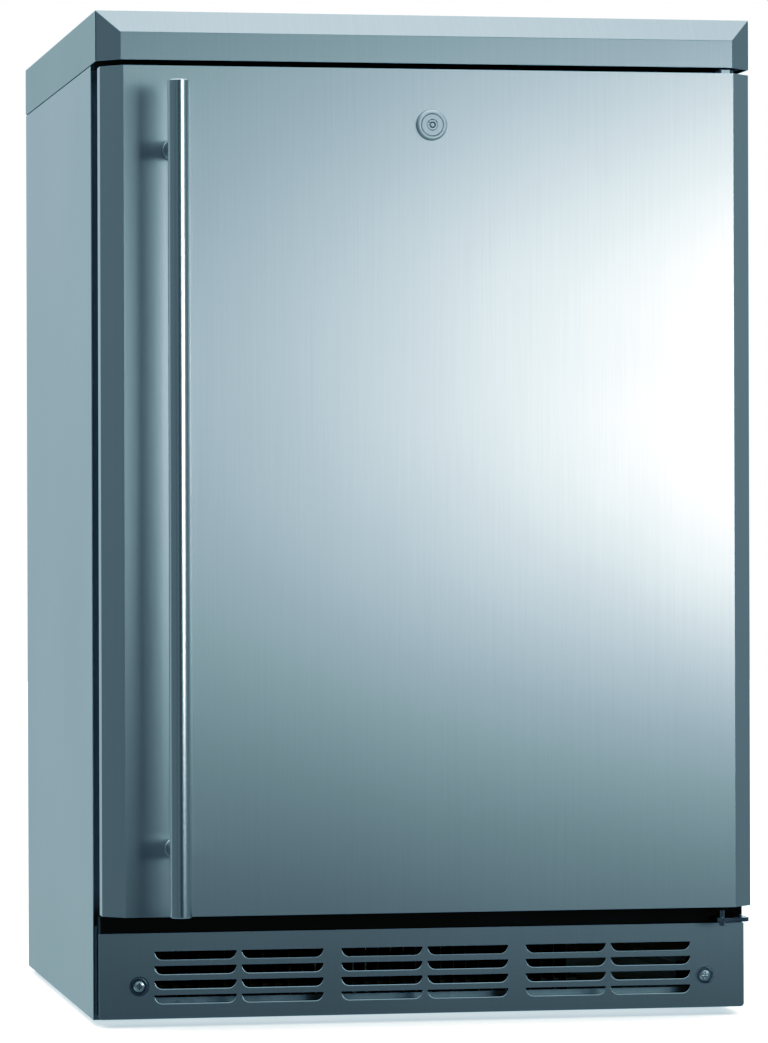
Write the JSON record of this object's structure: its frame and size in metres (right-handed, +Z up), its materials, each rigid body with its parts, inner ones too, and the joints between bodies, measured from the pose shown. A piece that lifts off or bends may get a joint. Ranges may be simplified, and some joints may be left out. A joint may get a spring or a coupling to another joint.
{
  "type": "undercounter refrigerator",
  "caption": "Free-standing stainless undercounter refrigerator: hinged door with bar handle and key lock, wire shelves, slotted kick plate, worktop and levelling feet.",
  "frame": {"origin": "on the floor under the middle of the bounding box", "axes": "+X to the right seen from the front, +Y to the back, +Z up"},
  "size_m": [0.6, 0.6876, 0.91],
  "materials": {
    "stainless": "brushed stainless sheet, vertical grain",
    "bright_steel": "satin stainless bar and turned fittings",
    "zinc_steel": "zinc-coated sheet",
    "board": "moisture-proof board",
    "foam": "rigid foam",
    "white_plastic": "moulded, fine texture",
    "black_plastic": "moulded black",
    "gasket_rubber": "soft extrusion",
    "shelf_coating": "coated wire",
    "black_paint": "black paint",
    "fin_aluminium": "thin fins on tubes",
    "copper": "drawn copper tube",
    "lens": "frosted lens",
    "circuit_board": "white coated board"
  },
  "bodies": {
    "cabinet": {"worktop_skin": "stainless", "side_panel_left": "stainless", "side_panel_right": "stainless", "front_frame": "stainless", "kick_plate": "stainless", "hinge_top": "bright_steel", "hinge_bottom": "bright_steel", "hinge_screws": "bright_steel", "kick_screws": "bright_steel", "kick_cups": "bright_steel", "lock_keeper": "bright_steel", "back_panel": "zinc_steel", "rear_grille": "zinc_steel", "base_pan": "zinc_steel", "foot_nuts": "zinc_steel", "shelf_strips": "zinc_steel", "fan_shroud": "zinc_steel", "worktop_core": "board", "cabinet_foam": "foam", "inner_liner": "white_plastic", "breaker_strip": "white_plastic", "evaporator_cover": "white_plastic", "control_housing": "white_plastic", "kick_carrier": "black_plastic", "mains_gland": "black_plastic", "drip_tray": "black_plastic", "shelf_clips": "black_plastic", "worktop_seal": "gasket_rubber", "compressor_mounts": "gasket_rubber", "compressor": "black_paint", "fan_motor": "black_paint", "evaporator_motor": "black_paint", "condenser": "fin_aluminium", "evaporator": "fin_aluminium", "refrigerant_lines": "copper", "filter_drier": "copper", "lamp_lens": "lens", "lamp_board": "circuit_board"},
    "door": {"door_skin": "stainless", "door_foam": "foam", "door_liner": "white_plastic", "door_gasket": "gasket_rubber", "handle_bar": "bright_steel", "handle_posts": "bright_steel", "handle_bolts": "bright_steel", "lock_bezel": "bright_steel", "lock_barrel": "bright_steel", "hinge_bushes": "white_plastic"},
    "lock": {"lock_core": "bright_steel"},
    "thermostat_dial": {"thermostat_dial": "black_plastic"},
    "lamp_rocker": {"lamp_rocker": "black_plastic"},
    "shelf_lower": {"shelf_lower": "shelf_coating"},
    "shelf_middle": {"shelf_middle": "shelf_coating"},
    "shelf_upper": {"shelf_upper": "shelf_coating"},
    "condenser_fan": {"condenser_fan": "black_plastic"},
    "evaporator_fan": {"evaporator_fan": "black_plastic"},
    "foot_front_left": {"foot_front_left": "black_plastic"},
    "foot_front_right": {"foot_front_right": "black_plastic"},
    "foot_back_left": {"foot_back_left": "black_plastic"},
    "foot_back_right": {"foot_back_right": "black_plastic"}
  },
  "joints": [
    {"name": "door_hinge", "type": "hinge", "parent": "cabinet", "child": "door", "pos_m": [0.271, -0.2631, 0.48], "axis": [0, 0, 1], "range_deg": [0, 110]},
    {"name": "lock_turn", "type": "hinge", "parent": "door", "child": "lock", "pos_m": [0, -0.2841, 0.8087], "axis": [0, 1, 0], "range_deg": [0, 90]},
    {"name": "thermostat_turn", "type": "hinge", "parent": "cabinet", "child": "thermostat_dial", "pos_m": [0.165, -0.1341, 0.792], "axis": [0, 1, 0], "range_deg": [0, 270]},
    {"name": "lamp_rocker_tilt", "type": "hinge", "parent": "cabinet", "child": "lamp_rocker", "pos_m": [0.098, -0.1326, 0.792], "axis": [1, 0, 0], "range_deg": [-16, 0]},
    {"name": "condenser_fan_spin", "type": "hinge", "parent": "cabinet", "child": "condenser_fan", "pos_m": [0.11, 0.1839, 0.104], "axis": [0, 1, 0], "continuous": true},
    {"name": "evaporator_fan_spin", "type": "hinge", "parent": "cabinet", "child": "evaporator_fan", "pos_m": [0, 0.2419, 0.738], "axis": [0, 1, 0], "continuous": true},
    {"name": "shelf_lower_slide", "type": "slide", "parent": "cabinet", "child": "shelf_lower", "axis": [0, -1, 0], "range_m": [0, 0.035]},
    {"name": "shelf_middle_slide", "type": "slide", "parent": "cabinet", "child": "shelf_middle", "axis": [0, -1, 0], "range_m": [0, 0.035]},
    {"name": "shelf_upper_slide", "type": "slide", "parent": "cabinet", "child": "shelf_upper", "axis": [0, -1, 0], "range_m": [0, 0.035]},
    {"name": "foot_front_left_turn", "type": "hinge", "parent": "cabinet", "child": "foot_front_left", "pos_m": [-0.262, -0.1441, 0.02], "axis": [0, 0, 1], "range_deg": [0, 1440]},
    {"name": "foot_front_right_turn", "type": "hinge", "parent": "cabinet", "child": "foot_front_right", "pos_m": [0.262, -0.1441, 0.02], "axis": [0, 0, 1], "range_deg": [0, 1440]},
    {"name": "foot_back_left_turn", "type": "hinge", "parent": "cabinet", "child": "foot_back_left", "pos_m": [-0.262, 0.2859, 0.02], "axis": [0, 0, 1], "range_deg": [0, 1440]},
    {"name": "foot_back_right_turn", "type": "hinge", "parent": "cabinet", "child": "foot_back_right", "pos_m": [0.262, 0.2859, 0.02], "axis": [0, 0, 1], "range_deg": [0, 1440]}
  ]
}
